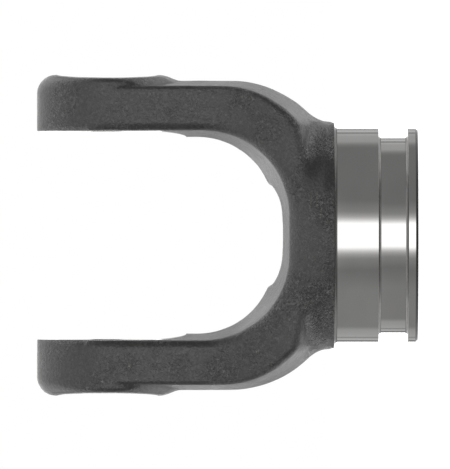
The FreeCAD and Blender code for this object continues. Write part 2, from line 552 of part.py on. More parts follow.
# spot faces on the inner side of both ears, then the cross bore with its edge breaks and snap-ring grooves
sk_b = new_sketch(yoke, "cross_bore_profile", "XZ_Plane")
bz = D["bore_height"]
rb, rg, bk = D["bore_rad"], D["ring_rad"], D["bore_break"]
xs, xr = D["spot_face"], D["ring_inner"]
out = [(0, bz), (0, bz + D["spot_rad"]), (xs, bz + D["spot_rad"]), (xs, bz + rb + bk), (xs + bk, bz + rb),
       (xr, bz + rb), (xr, bz + rg), (xr + D["ring_width"], bz + rg), (xr + D["ring_width"], bz + rb),
       (48.0, bz + rb), (48.0, bz)]
lines_b = [line(sk_b, out[i], out[(i + 1) % len(out)]) for i in range(len(out))]
for i in range(len(out)):
    rule(sk_b, "Coincident", lines_b[i], 2, lines_b[(i + 1) % len(out)], 1)
rule(sk_b, "PointOnObject", lines_b[0], 1, -2)
rule(sk_b, "Vertical", lines_b[0])
rule(sk_b, "Horizontal", lines_b[1])
rule(sk_b, "Vertical", lines_b[2])
rule(sk_b, "Horizontal", lines_b[4])
rule(sk_b, "Vertical", lines_b[5])
rule(sk_b, "Horizontal", lines_b[6])
rule(sk_b, "Vertical", lines_b[7])
rule(sk_b, "Horizontal", lines_b[8])
rule(sk_b, "Vertical", lines_b[9])
rule(sk_b, "Horizontal", lines_b[10])
size(sk_b, "DistanceY", (lines_b[0], 1), bz, "dims.bore_height", "axis_level")
size(sk_b, "DistanceY", (lines_b[1], 1), bz + D["spot_rad"], "dims.bore_height + dims.spot_rad", "spot_reach")
size(sk_b, "DistanceX", (lines_b[2], 1), xs, "dims.spot_face", "spot_level")
size(sk_b, "DistanceY", (lines_b[3], 1), bz + rb + bk, "dims.bore_height + dims.bore_rad + dims.bore_break", "break_out")
size(sk_b, "DistanceY", (lines_b[4], 1), bz + rb, "dims.bore_height + dims.bore_rad", "bore_reach")
size(sk_b, "DistanceX", (lines_b[4], 1), xs + bk, "dims.spot_face + dims.bore_break", "break_in")
size(sk_b, "DistanceX", (lines_b[5], 1), xr, "dims.ring_inner", "ring_start")
size(sk_b, "DistanceY", (lines_b[6], 1), bz + rg, "dims.bore_height + dims.ring_rad", "ring_reach")
size(sk_b, "DistanceX", (lines_b[7], 1), xr + D["ring_width"], "dims.ring_inner + dims.ring_width", "ring_finish")
size(sk_b, "DistanceY", (lines_b[8], 1), bz + rb, "dims.bore_height + dims.bore_rad", "land_reach")
size(sk_b, "DistanceX", (lines_b[9], 1), 48.0, "dims.ear_crest + 3.44", "outside")
settle(sk_b)
before = forging.Shape.Volume
bore = yoke.newObject("PartDesign::Groove", "cross_bore_right")
bore.Profile = sk_b
bore.ReferenceAxis = (sk_b, ["Edge%d" % 11])
bore.Angle = 360.0
doc.recompute()
print("cross bore right", round(before - bore.Shape.Volume, 1))
bore_pair = yoke.newObject("PartDesign::Mirrored", "cross_bore_left")
bore_pair.Originals = [bore]
bore_pair.MirrorPlane = (origin_plane(yoke, "YZ_Plane"), [""])
yoke.Tip = bore_pair
doc.recompute()
print("cross bore both", round(before - bore_pair.Shape.Volume, 1))
if before - bore_pair.Shape.Volume < 1.9 * (before - bore.Shape.Volume):
    raise RuntimeError("the second bore cut nothing")

# outer edge break of the cross bore, on the drafted tops of the ears
rims = []
for index, edge in enumerate(bore_pair.Shape.Edges, start=1):
    pts = points(edge)
    if all(abs(math.hypot(p.y, p.z - bz) - rb) < 1e-3 for p in pts) and all(abs(p.x) > 43.0 for p in pts):
        if abs(pts[0].x - pts[1].x) > 1e-4 or abs(pts[1].x - pts[2].x) > 1e-4:
            rims.append("Edge%d" % index)
outer_break = yoke.newObject("PartDesign::Fillet", "cross_bore_break")
outer_break.Base = (bore_pair, rims)
outer_break.Radius = D["bore_break"]
outer_break.setExpression("Radius", "dims.bore_break")
yoke.Tip = outer_break
doc.recompute()
print("bore rims", len(rims), round(bore_pair.Shape.Volume - outer_break.Shape.Volume, 2))

# the hub's cavity and the hole through the bottom of the U
sk_c = new_sketch(yoke, "cavity_profile", "XZ_Plane")
cm, cb, ct, cd, cf = D["cavity_mouth"], D["cavity_break"], D["cavity_top_rad"], D["cavity_depth"], D["cavity_fillet"]
# wall line from (cm, cb) towards (ct, cd); the rounding is tangent to it and to the floor
ux, uz = ct - cm, cd - cb
ul = math.hypot(ux, uz)
ux, uz = ux / ul, uz / ul
centre_z = cd - cf
t = (centre_z - cb - cf * (-ux)) / uz
centre_x = cm + ux * t - cf * uz
touch = (centre_x + cf * uz, centre_z - cf * ux)
c0 = line(sk_c, (0, 0), (cm + cb, 0))
c1 = line(sk_c, (cm + cb, 0), (cm, cb))
c2 = line(sk_c, (cm, cb), touch)
a_start = math.degrees(math.atan2(touch[1] - centre_z, touch[0] - centre_x))
c3 = arc(sk_c, (centre_x, centre_z), cf, a_start, 90)
c4 = line(sk_c, (centre_x, cd), (0, cd))
c5 = line(sk_c, (0, cd), (0, 0))
rule(sk_c, "Coincident", c0, 1, -1, 1)
rule(sk_c, "Horizontal", c0)
rule(sk_c, "Coincident", c0, 2, c1, 1)
rule(sk_c, "Coincident", c1, 2, c2, 1)
rule(sk_c, "Tangent", c2, 2, c3, 1)
rule(sk_c, "Tangent", c3, 2, c4, 1)
rule(sk_c, "Horizontal", c4)
rule(sk_c, "Coincident", c4, 2, c5, 1)
rule(sk_c, "Coincident", c5, 2, c0, 1)
size(sk_c, "DistanceX", (c0, 2), cm + cb, "dims.cavity_mouth + dims.cavity_break", "mouth_outside")
size(sk_c, "DistanceX", (c2, 1), cm, "dims.cavity_mouth", "mouth_inside")
size(sk_c, "DistanceY", (c2, 1), cb, "dims.cavity_break", "mouth_level")
size(sk_c, "DistanceY", (c4, 2), cd, "dims.cavity_depth", "floor_level")
size(sk_c, "Radius", (c3,), cf, "dims.cavity_fillet", "floor_rounding")
size(sk_c, "Angle", (c2,), math.atan2(uz, ux), "180 deg - atan((dims.cavity_depth - dims.cavity_break) / (dims.cavity_mouth - dims.cavity_top_rad))", "wall_angle")
settle(sk_c)
cavity = yoke.newObject("PartDesign::Groove", "hub_cavity")
cavity.Profile = sk_c
cavity.ReferenceAxis = (sk_c, ["V_Axis"])
cavity.Angle = 360.0
yoke.Tip = cavity
doc.recompute()
print("cavity", round(outer_break.Shape.Volume - cavity.Shape.Volume, 1))

sk_o = new_sketch(yoke, "centre_hole", "XY_Plane")
circle = sk_o.addGeometry(Part.Circle(V(0, 0, 0), V(0, 0, 1), D["hole_rad"]), False)
rule(sk_o, "Coincident", circle, 3, -1, 1)
size(sk_o, "Radius", (circle,), D["hole_rad"], "dims.hole_rad", "hole_radius")
settle(sk_o)
hole = yoke.newObject("PartDesign::Pocket", "hole_through_the_U")
hole.Profile = sk_o
hole.Type = "Length"
hole.Length = 60.0
hole.setExpression("Length", "dims.floor_p + 20.19")
hole.Reversed = True
yoke.Tip = hole
doc.recompute()
print("hole", round(cavity.Shape.Volume - hole.Shape.Volume, 1))
if cavity.Shape.Volume - hole.Shape.Volume < 1000.0:
    raise RuntimeError("the centre hole cut nothing")

lip = []
for index, edge in enumerate(hole.Shape.Edges, start=1):
    pts = points(edge)
    if all(abs(math.hypot(p.x, p.y) - D["hole_rad"]) < 2e-3 and p.z > 33.0 for p in pts) and edge.Length > 1.0:
        if abs(pts[0].x - pts[2].x) > 0.05 or abs(pts[0].y - pts[2].y) > 0.05:
            lip.append("Edge%d" % index)
lip_cut = yoke.newObject("PartDesign::Fillet", "hole_rim_rounding")
lip_cut.Base = (hole, lip)
lip_cut.Radius = D["hole_round"]
lip_cut.setExpression("Radius", "dims.hole_round")
yoke.Tip = lip_cut
doc.recompute()
print("hole rim", len(lip), round(hole.Shape.Volume - lip_cut.Shape.Volume, 2))
if hole.Shape.Volume - lip_cut.Shape.Volume < 5.0:
    raise RuntimeError("the hole's rim was not rounded")

# -------------------------------------------------------------------------------------------- check and write
bad = [o.Name for o in doc.Objects if "Invalid" in o.State or "Error" in o.State]
if bad:
    raise RuntimeError("failed objects: " + ", ".join(bad))
sub_parts = [yoke]
for part in sub_parts:
    if part.Shape.isNull() or not part.Shape.isValid() or len(part.Shape.Solids) != 1:
        raise RuntimeError("bad shape: " + part.Label)
for part in sub_parts:
    part.Shape.exportStep("parts/" + part.Label + ".step")
    box = part.Shape.BoundBox
    print(part.Label, "volume", round(part.Shape.Volume, 1), "box", round(box.XMin, 3), round(box.XMax, 3),
          round(box.YMin, 3), round(box.YMax, 3), round(box.ZMin, 3), round(box.ZMax, 3), "faces", len(part.Shape.Faces))
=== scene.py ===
import math
import time

import bpy
import numpy as np
from mathutils import Matrix, Vector


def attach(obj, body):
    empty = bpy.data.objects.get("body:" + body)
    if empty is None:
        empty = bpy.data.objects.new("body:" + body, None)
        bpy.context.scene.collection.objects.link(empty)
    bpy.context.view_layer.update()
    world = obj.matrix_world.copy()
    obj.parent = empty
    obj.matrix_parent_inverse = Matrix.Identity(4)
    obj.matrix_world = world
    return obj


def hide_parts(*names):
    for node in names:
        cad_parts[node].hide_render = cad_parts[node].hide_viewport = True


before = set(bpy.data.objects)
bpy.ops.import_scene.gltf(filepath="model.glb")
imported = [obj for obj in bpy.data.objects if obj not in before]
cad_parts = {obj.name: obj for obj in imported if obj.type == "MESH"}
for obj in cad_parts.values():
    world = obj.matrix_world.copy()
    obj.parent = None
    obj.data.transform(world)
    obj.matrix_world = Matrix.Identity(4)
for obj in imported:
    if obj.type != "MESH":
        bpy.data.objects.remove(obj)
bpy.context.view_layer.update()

T0 = time.time()

# ------------------------------------------------------------------------------------------------------------
# The yoke's finished surface. The forged blank is a smooth field in millimetres, taken from the same drawing as
# the CAD solid: ears, arms, collar, cavity and centre hole, with the soft blends a forging die leaves. It is
# meshed, and then machined like the real one: turned at the hub, bored and spot-faced in the ears.
# ------------------------------------------------------------------------------------------------------------
BORE_Z, BORE_R, SPOT_X, SPOT_R = 85.68, 13.494, 28.80, 21.72
EAR_R, EAR_CREST, EAR_DRAFT, EAR_ROUND, EAR_ROUND_SIDE = 19.56, 44.44, 3.6, 5.26, 1.25
EDGE_OUT, EDGE_HEEL = 1.1, 2.4
SIDE_Y = 25.2
COLLAR_R, COLLAR_LOW = 31.26, 23.13
HOLE_R = 13.47


def arc(cx, cz, r, a0, a1, n):
    t = np.radians(np.linspace(a0, a1, n))
    return np.stack([cx + r * np.cos(t), cz + r * np.sin(t)], 1)


def run(a, b, n):
    t = np.linspace(0.0, 1.0, n)[:, None]
    return np.array(a)[None] * (1 - t) + np.array(b)[None] * t


def outlines():
    """outer outline at the parting plane and at depth SIDE_Y, point for point, from the axis up to the ear"""
    out_p, r_p, z_p = 42.84, 31.17, 51.90
    cx = out_p - r_p
    fr = 11.07
    fx = COLLAR_R - 0.15 + fr
    fz = z_p - math.sqrt((r_p + fr) ** 2 - (fx - cx) ** 2)
    turn = math.degrees(math.atan2(z_p - fz, fx - cx))
    foot = 180.0 - math.degrees(math.asin((24.30 - fz) / fr))
    flare = arc(fx, fz, fr, foot, 180.0 - turn, 12)
    p = [run((0.0, 24.30), flare[0], 9), flare, arc(cx, z_p, r_p, -turn, 0, 22), run((out_p, z_p), (out_p, 112.0), 3)]
    out_s, r_s, z_s, end_s, heel, low = 40.70, 28.5, 54.56, 35.3, 6.5, 29.1
    ax = out_s - r_s
    a_ang = math.degrees(math.asin((z_s - end_s) / r_s))
    bx = ax + (r_s - heel) * math.cos(math.radians(a_ang))
    bz = z_s - (r_s - heel) * math.sin(math.radians(a_ang))
    q = bz - low
    big = (bx ** 2 + q ** 2 - heel ** 2) / (2.0 * (q - heel))
    c_ang = math.degrees(math.atan2(bz - low - big, bx))
    s = [arc(0.0, low + big, big, -90.0, c_ang, 9), arc(bx, bz, heel, c_ang, -a_ang, 12),
         arc(ax, z_s, r_s, -a_ang, 0, 22), run((out_s, z_s), (out_s, 112.0), 3)]
    join = lambda parts: np.concatenate([parts[0]] + [part[1:] for part in parts[1:]])
    return join(p).astype(np.float64), join(s).astype(np.float64)


OUT_P, OUT_S = outlines()


def step(a, b, x):
    t = np.clip((x - a) / (b - a), 0.0, 1.0)
    return t * t * (3.0 - 2.0 * t)


def mix(a, b, t):
    return a + (b - a) * t


def rmax(a, b, r):
    """intersection of two fields, its convex edge rounded to radius r"""
    return np.minimum(-r, np.maximum(a, b)) + np.hypot(np.maximum(a + r, 0.0), np.maximum(b + r, 0.0))


def rmin(a, b, r):
    """union of two fields, its inner corner filled to radius r"""
    return -rmax(-a, -b, r)


def outer_field(x, z, f):
    """distance to the outer outline of the arms and shoulders at depth fraction f"""
    best = np.full(x.shape, 1e9)
    inside = np.zeros(x.shape, bool)
    for j in range(len(OUT_P) - 1):
        ax, az = mix(OUT_P[j, 0], OUT_S[j, 0], f), mix(OUT_P[j, 1], OUT_S[j, 1], f)
        bx, bz = mix(OUT_P[j + 1, 0], OUT_S[j + 1, 0], f), mix(OUT_P[j + 1, 1], OUT_S[j + 1, 1], f)
        ex, ez = bx - ax, bz - az
        t = np.clip(((x - ax) * ex + (z - az) * ez) / (ex * ex + ez * ez + 1e-12), 0.0, 1.0)
        best = np.minimum(best, (x - ax - t * ex) ** 2 + (z - az - t * ez) ** 2)
        cross = (az > z) != (bz > z)
        xi = ax + (z - az) / np.where(np.abs(ez) < 1e-9, 1e-9, ez) * ex
        inside ^= cross & (x < xi)
    return np.where(inside, -1.0, 1.0) * np.sqrt(best)


RAMP_TOP, RAMP_END, RAMP_R = 60.0, 28.0, 50.0
_rise, _drop = 25.19 - EAR_R, RAMP_TOP - RAMP_END
_lean = 2.0 * math.atan(_rise / _drop)
SWELL_R = _drop / math.sin(_lean) - RAMP_R
RAMP_MID = RAMP_TOP - RAMP_R * math.sin(_lean)


def side_field(y, z):
    """distance past the flat sides: straight beside the arms, round over the ears, then a hollow arc and a full
    one out to the collar"""
    zz = np.clip(z, RAMP_END, RAMP_TOP)
    far_up = np.sqrt(RAMP_R ** 2 - np.minimum(RAMP_TOP - zz, RAMP_TOP - RAMP_MID) ** 2)
    far_down = np.sqrt(SWELL_R ** 2 - np.minimum(zz - RAMP_END, RAMP_MID - RAMP_END) ** 2)
    upper = zz > RAMP_MID
    depth = np.where(upper, EAR_R + RAMP_R - far_up, 25.19 - SWELL_R + far_down)
    slope = np.where(upper, (RAMP_TOP - zz) / far_up, (zz - RAMP_END) / far_down)
    low = (y - depth) / np.sqrt(1.0 + slope * slope)
    return np.where(z > BORE_Z, np.hypot(y, z - BORE_Z) - EAR_R, low)


TAN_EAR, COS_EAR = math.tan(math.radians(EAR_DRAFT)), math.cos(math.radians(EAR_DRAFT))


def base_field(x, y, z):
    """the blank, before machining; negative inside"""
    x, y = np.abs(x), np.abs(y)
    f = np.minimum(y / SIDE_Y, 1.1)
    side = side_field(y, z)
    # arms and shoulders, their outer side edge; the edge fades into the ear's rounding
    turn_r = mix(EDGE_OUT, EDGE_HEEL, np.clip((54.56 - z) / 19.26, 0.0, 1.0))
    arm = rmax(outer_field(x, z, f), side, turn_r)
    arm = np.maximum(arm, z - BORE_Z - 6.0)          # the ear alone makes the tip
    # ear; its top is rounded widely at the tip and the foot, and tightly beside the bore
    roof = (x - EAR_CREST + TAN_EAR * np.sqrt(y * y + 0.5)) * COS_EAR
    off_axis = np.degrees(np.arctan2(y, np.abs(z - BORE_Z) + 1e-9))
    ear_r = mix(EAR_ROUND, EAR_ROUND_SIDE, np.clip((off_axis - 10.0) / 68.0, 0.0, 1.0))
    ear = rmax(np.hypot(y, z - BORE_Z) - EAR_R, roof, ear_r)
    ear = np.maximum(ear, 20.0 - x)
    body = rmin(arm, ear, 0.05 + 1.6 * step(0.0, 1.5, -side))
    # collar and the round stock of the hub
    rho = np.hypot(x, y)
    crown = ((rho - COLLAR_R) * 5.85 + (z - 28.9) * 6.96) / 9.092
    collar = rmax(rho - COLLAR_R, crown, 3.0)
    body = rmin(body, collar, 0.7 + 4.6 * step(1.5, 12.0, y))
    # the space between the arms
    rc = mix(20.89, 23.64, f)
    qx = x - (mix(27.13, 29.67, f) - rc)
    qz = mix(39.81, 35.38, f) + rc - z
    gap = np.hypot(np.maximum(qx, 0.0), np.maximum(qz, 0.0)) + np.minimum(np.maximum(qx, qz), 0.0) - rc
    body = rmax(body, -gap, 2.2)
    # centre hole with its rounded rim, and the hollow of the hub
    body = rmax(body, HOLE_R - rho, 1.5)
    wall = (rho - mix(22.0, 20.8, (z - 1.0) / 24.0)) * 0.9987
    hollow = rmax(wall, z - 25.0, 5.0)
    return np.maximum(rmax(body, -hollow, 0.7), -1.4 - z)


# ------------------------------------------------------------------------------------ unevenness of the forging
class Lattice:
    """smooth noise from a fixed table, about -1 to 1"""

    def __init__(self, seed):
        self.table = np.random.RandomState(seed).uniform(-1.0, 1.0, (32, 32, 32))

    def __call__(self, x, y, z, size):
        x, y, z = x / size, y / size, z / size
        i, j, k = np.floor(x).astype(int), np.floor(y).astype(int), np.floor(z).astype(int)
        u, v, w = x - i, y - j, z - k
        u, v, w = (t * t * t * (t * (t * 6 - 15) + 10) for t in (u, v, w))
        i0, j0, k0, i1, j1, k1 = i & 31, j & 31, k & 31, (i + 1) & 31, (j + 1) & 31, (k + 1) & 31
        t = self.table
        c00, c10 = mix(t[i0, j0, k0], t[i1, j0, k0], u), mix(t[i0, j1, k0], t[i1, j1, k0], u)
        c01, c11 = mix(t[i0, j0, k1], t[i1, j0, k1], u), mix(t[i0, j1, k1], t[i1, j1, k1], u)
        return mix(mix(c00, c10, v), mix(c01, c11, v), w)


WAVE, LUMP, GRAIN = Lattice(11), Lattice(23), Lattice(37)


def unevenness(x, y, z):
    """how far the real skin lies under the die's surface"""
    n = 0.02 + 0.055 * WAVE(x + 3.1, y, z, 11.0)
    n = n + 0.034 * LUMP(x, y + 7.7, z, 4.3)
    n = n + 0.020 * GRAIN(x, y, z + 5.3, 1.9)
    return n


def field(x, y, z):
    return base_field(x, y, z) + unevenness(x, y, z)


def gradient(x, y, z, e=0.05):
    g = np.stack([field(x + e, y, z) - field(x - e, y, z), field(x, y + e, z) - field(x, y - e, z),
                  field(x, y, z + e) - field(x, y, z - e)], 1) / (2.0 * e)
    return g


# ---------------------------------------------------------------------------------------------- the blank's mesh
H = 0.72


def untangle(vals):
    """where two skins would touch along an edge, the grid value nearest to zero changes side"""
    for _ in range(20):
        found = 0
        inside = vals < 0.0
        for o1, o2 in ((0, 1), (0, 2), (1, 2)):
            shift = []
            for d1, d2 in ((0, 0), (0, 1), (1, 1), (1, 0)):
                cut = [slice(None)] * 3
                cut[o1] = slice(1, None) if d1 else slice(0, -1)
                cut[o2] = slice(1, None) if d2 else slice(0, -1)
                shift.append(inside[tuple(cut)])
            a, b, c, d = shift
            twisted = np.stack(np.nonzero((a == c) & (b == d) & (a != b)), 1)
            for cell in twisted:
                corners = []
                for d1, d2 in ((0, 0), (0, 1), (1, 1), (1, 0)):
                    corner = cell.copy()
                    corner[o1] += d1
                    corner[o2] += d2
                    corners.append(tuple(corner))
                small = min(corners, key=lambda p: abs(vals[p]))
                vals[small] = -1e-4 if vals[small] >= 0.0 else 1e-4
                found += 1
        if not found:
            return


def blank_mesh():
    hx, hy = 65, 46
    xs = (np.arange(-hx, hx + 1)) * H
    ys = (np.arange(-hy, hy + 1)) * H
    zs = np.arange(-4, 150) * H + 0.31
    qx, qy, qz = np.meshgrid(xs[hx:], ys[hy:], zs, indexing="ij")
    q = base_field(qx.ravel(), qy.ravel(), qz.ravel()).reshape(qx.shape)
    half = np.concatenate([q[:0:-1], q], 0)
    vals = np.concatenate([half[:, :0:-1], half], 1)
    near = np.abs(vals) < 2.2 * H
    i, j, k = np.nonzero(near)
    vals[i, j, k] += unevenness(xs[i], ys[j], zs[k])
    untangle(vals)
    inside = vals < 0.0
    nx, ny, nz = vals.shape
    total = np.zeros((nx, ny, nz, 3), np.float32)
    count = np.zeros((nx, ny, nz), np.int16)
    axes = (xs, ys, zs)
    quads = []
    for axis in range(3):
        lo = [slice(None)] * 3
        hi = [slice(None)] * 3
        lo[axis], hi[axis] = slice(0, -1), slice(1, None)
        a, b = inside[tuple(lo)], inside[tuple(hi)]
        idx = np.stack(np.nonzero(a != b), 1)
        va = vals[tuple(idx.T)]
        nb = idx.copy()
        nb[:, axis] += 1
        vb = vals[tuple(nb.T)]
        t = va / (va - vb)
        pos = np.stack([axes[c][idx[:, c]] for c in range(3)], 1)
        pos[:, axis] += t * H
        o1, o2 = [c for c in range(3) if c != axis]
        for d1 in (0, 1):
            for d2 in (0, 1):
                cell = idx.copy()
                cell[:, o1] -= d1
                cell[:, o2] -= d2
                np.add.at(total, tuple(cell.T), pos)
                np.add.at(count, tuple(cell.T), 1)
        order = {0: ((1, 1), (0, 1), (0, 0), (1, 0)), 1: ((1, 1), (1, 0), (0, 0), (0, 1)),
                 2: ((1, 1), (0, 1), (0, 0), (1, 0))}[axis]
        corners = []
        for d1, d2 in order:
            cell = idx.copy()
            cell[:, o1] -= d1
            cell[:, o2] -= d2
            corners.append((cell[:, 0] * ny + cell[:, 1]) * nz + cell[:, 2])
        quad = np.stack(corners, 1)
        out = va < 0.0
        quads.append(np.where(out[:, None], quad, quad[:, ::-1]))
    quads = np.concatenate(quads)
    used = np.nonzero(count.ravel())[0]
    lookup = np.full(nx * ny * nz, -1, np.int64)
    lookup[used] = np.arange(len(used))
    verts = (total.reshape(-1, 3)[used] / count.ravel()[used][:, None]).astype(np.float64)
    quads = lookup[quads]
    for _ in range(3):
        x, y, z = verts.T
        d = field(x, y, z)
        g = gradient(x, y, z)
        n2 = np.maximum((g * g).sum(1), 0.15)
        move = -(d / n2)[:, None] * g
        size = np.maximum(np.linalg.norm(move, axis=1), 1e-9)
        move *= np.minimum(1.0, 0.45 * H / size)[:, None]
        verts = verts + move
    # the skin stays inside the box of the solid
    low = np.array([-EAR_CREST, -COLLAR_R, -9.0]) + 0.01
    high = np.array([EAR_CREST, COLLAR_R, BORE_Z + EAR_R]) - 0.01
    verts = np.clip(verts, low, high)
    return verts, quads


def make_object(name, verts, faces, smooth=True):
    mesh = bpy.data.meshes.new(name)
    mesh.from_pydata((np.asarray(verts) * 0.001).tolist(), [], [list(map(int, face)) for face in faces])
    mesh.update()
    mesh.polygons.foreach_set("use_smooth", [smooth] * len(mesh.polygons))
    obj = bpy.data.objects.new(name, mesh)
    bpy.context.scene.collection.objects.link(obj)
    return obj


def turned(name, rings, segments, axis):
    """a closed solid of revolution; rings go from pole to pole as (place along the axis, radius), where the
    place may be a function of the angle"""
    ang = np.arange(segments) * 2.0 * math.pi / segments
    verts, faces, starts = [], [], []
    for place, radius in rings:
        if radius == 0.0:
            starts.append((len(verts), 1))
            verts.append((0.0, 0.0, place))
            continue
        starts.append((len(verts), segments))
        along = place(ang) if callable(place) else np.full(segments, place)
        verts.extend(zip(radius * np.cos(ang), radius * np.sin(ang), along))
    for (a, na), (b, nb) in zip(starts[:-1], starts[1:]):
        for s in range(segments):
            n = (s + 1) % segments
            if na == 1:
                faces.append((a, b + n, b + s))
            elif nb == 1:
                faces.append((a + s, a + n, b))
            else:
                faces.append((a + s, a + n, b + n, b + s))
    v = np.array(verts)
    if axis == "x":
        v = v[:, [2, 0, 1]] + np.array([0.0, 0.0, BORE_Z])
    return make_object(name, v, faces)


def arc_rings(cz, cr, r, a0, a1, n):
    """points (height, radius) of a fillet; angle 0 points outwards, 90 points up"""
    t = np.radians(np.linspace(a0, a1, n))
    return [(cz + r * math.sin(u), cr + r * math.cos(u)) for u in t]


def hub_cutter():
    e = 0.12
    rings = [(3.0, 0.0), (3.0, 20.0), (0.0, 23.0), (0.0, 28.95), (0.67, 29.62), (2.74 - e, 29.62), (2.74, 29.62 - e)]
    rings += arc_rings(2.74 + 0.65, 27.06 + 0.65, 0.65, -90, -180, 6)
    rings += arc_rings(10.82 - 0.65, 27.06 + 0.65, 0.65, 180, 90, 6)
    rings += [(10.82, 29.64 - e), (10.82 + e, 29.64)]
    rings += arc_rings(22.30, 29.64 + 0.65, 0.65, 180, 90, 6)
    rings += [(23.13, 31.32), (23.9, 35.6), (-4.0, 35.6), (-4.0, 0.0)]
    rings = [rings[i] for i in range(len(rings)) if i == 0 or math.dist(rings[i], rings[i - 1]) > 1e-6]
    return turned("hub_cutter", rings, 240, "z")


def ear_top(radius):
    """outer face of an ear at this radius about the bore, as a function of the angle"""
    return lambda a: EAR_CREST - 0.05 - TAN_EAR * np.sqrt((radius * np.cos(a)) ** 2 + 0.5)


def bore_cutter():
    e = 0.45
    top = ear_top(BORE_R + e)
    one = [(SPOT_X, SPOT_R), (SPOT_X, BORE_R + e), (SPOT_X + e, BORE_R), (40.88, BORE_R), (40.88, 14.35),
           (42.48, 14.35), (42.48, BORE_R), (lambda a: top(a) - e, BORE_R), (top, BORE_R + e),
           (lambda a: top(a) + 0.5, BORE_R + e + 0.5), (49.0, BORE_R + e + 0.5), (49.0, 0.0)]

    def minus(place):
        return (lambda a: -place(a)) if callable(place) else -place

    rings = [(minus(p), r) for p, r in reversed(one)] + one
    return turned("bore_cutter", rings, 160, "x")


def outward(obj):
    """turns the faces of a closed mesh outwards"""
    mesh = obj.data
    co = np.empty(len(mesh.vertices) * 3)
    mesh.vertices.foreach_get("co", co)
    co = co.reshape(-1, 3)
    mesh.calc_loop_triangles()
    tri = np.empty(len(mesh.loop_triangles) * 3, np.int32)
    mesh.loop_triangles.foreach_get("vertices", tri)
    a, b, c = (co[tri.reshape(-1, 3)[:, i]] for i in range(3))
    if np.einsum("ij,ij->i", a, np.cross(b, c)).sum() < 0.0:
        mesh.flip_normals()


verts, quads = blank_mesh()
print("blank", len(verts), len(quads), round(time.time() - T0, 1), "s")
yoke = make_object("yoke_body", verts, quads)
outward(yoke)
cutters = [hub_cutter(), bore_cutter()]
for c in cutters:
    outward(c)

# --------------------------------------------------------------------------------------------------- materials
def link(tree, a, b):
    tree.links.new(a, b)


def node(tree, kind, **settings):
    n = tree.nodes.new(kind)
    for key, value in settings.items():
        if hasattr(n, key):
            setattr(n, key, value)
        else:
            n.inputs[key].default_value = value
    return n


def ramp(tree, stops, mode="LINEAR"):
    n = tree.nodes.new("ShaderNodeValToRGB")
    n.color_ramp.interpolation = mode
    els = n.color_ramp.elements
    els[1].position = stops[-1][0]
    els[0].position = stops[0][0]
    for pos, colour in stops[1:-1]:
        els.new(pos)
    for el, (pos, colour) in zip(els, stops):
        el.color = (*colour, 1.0)
    return n


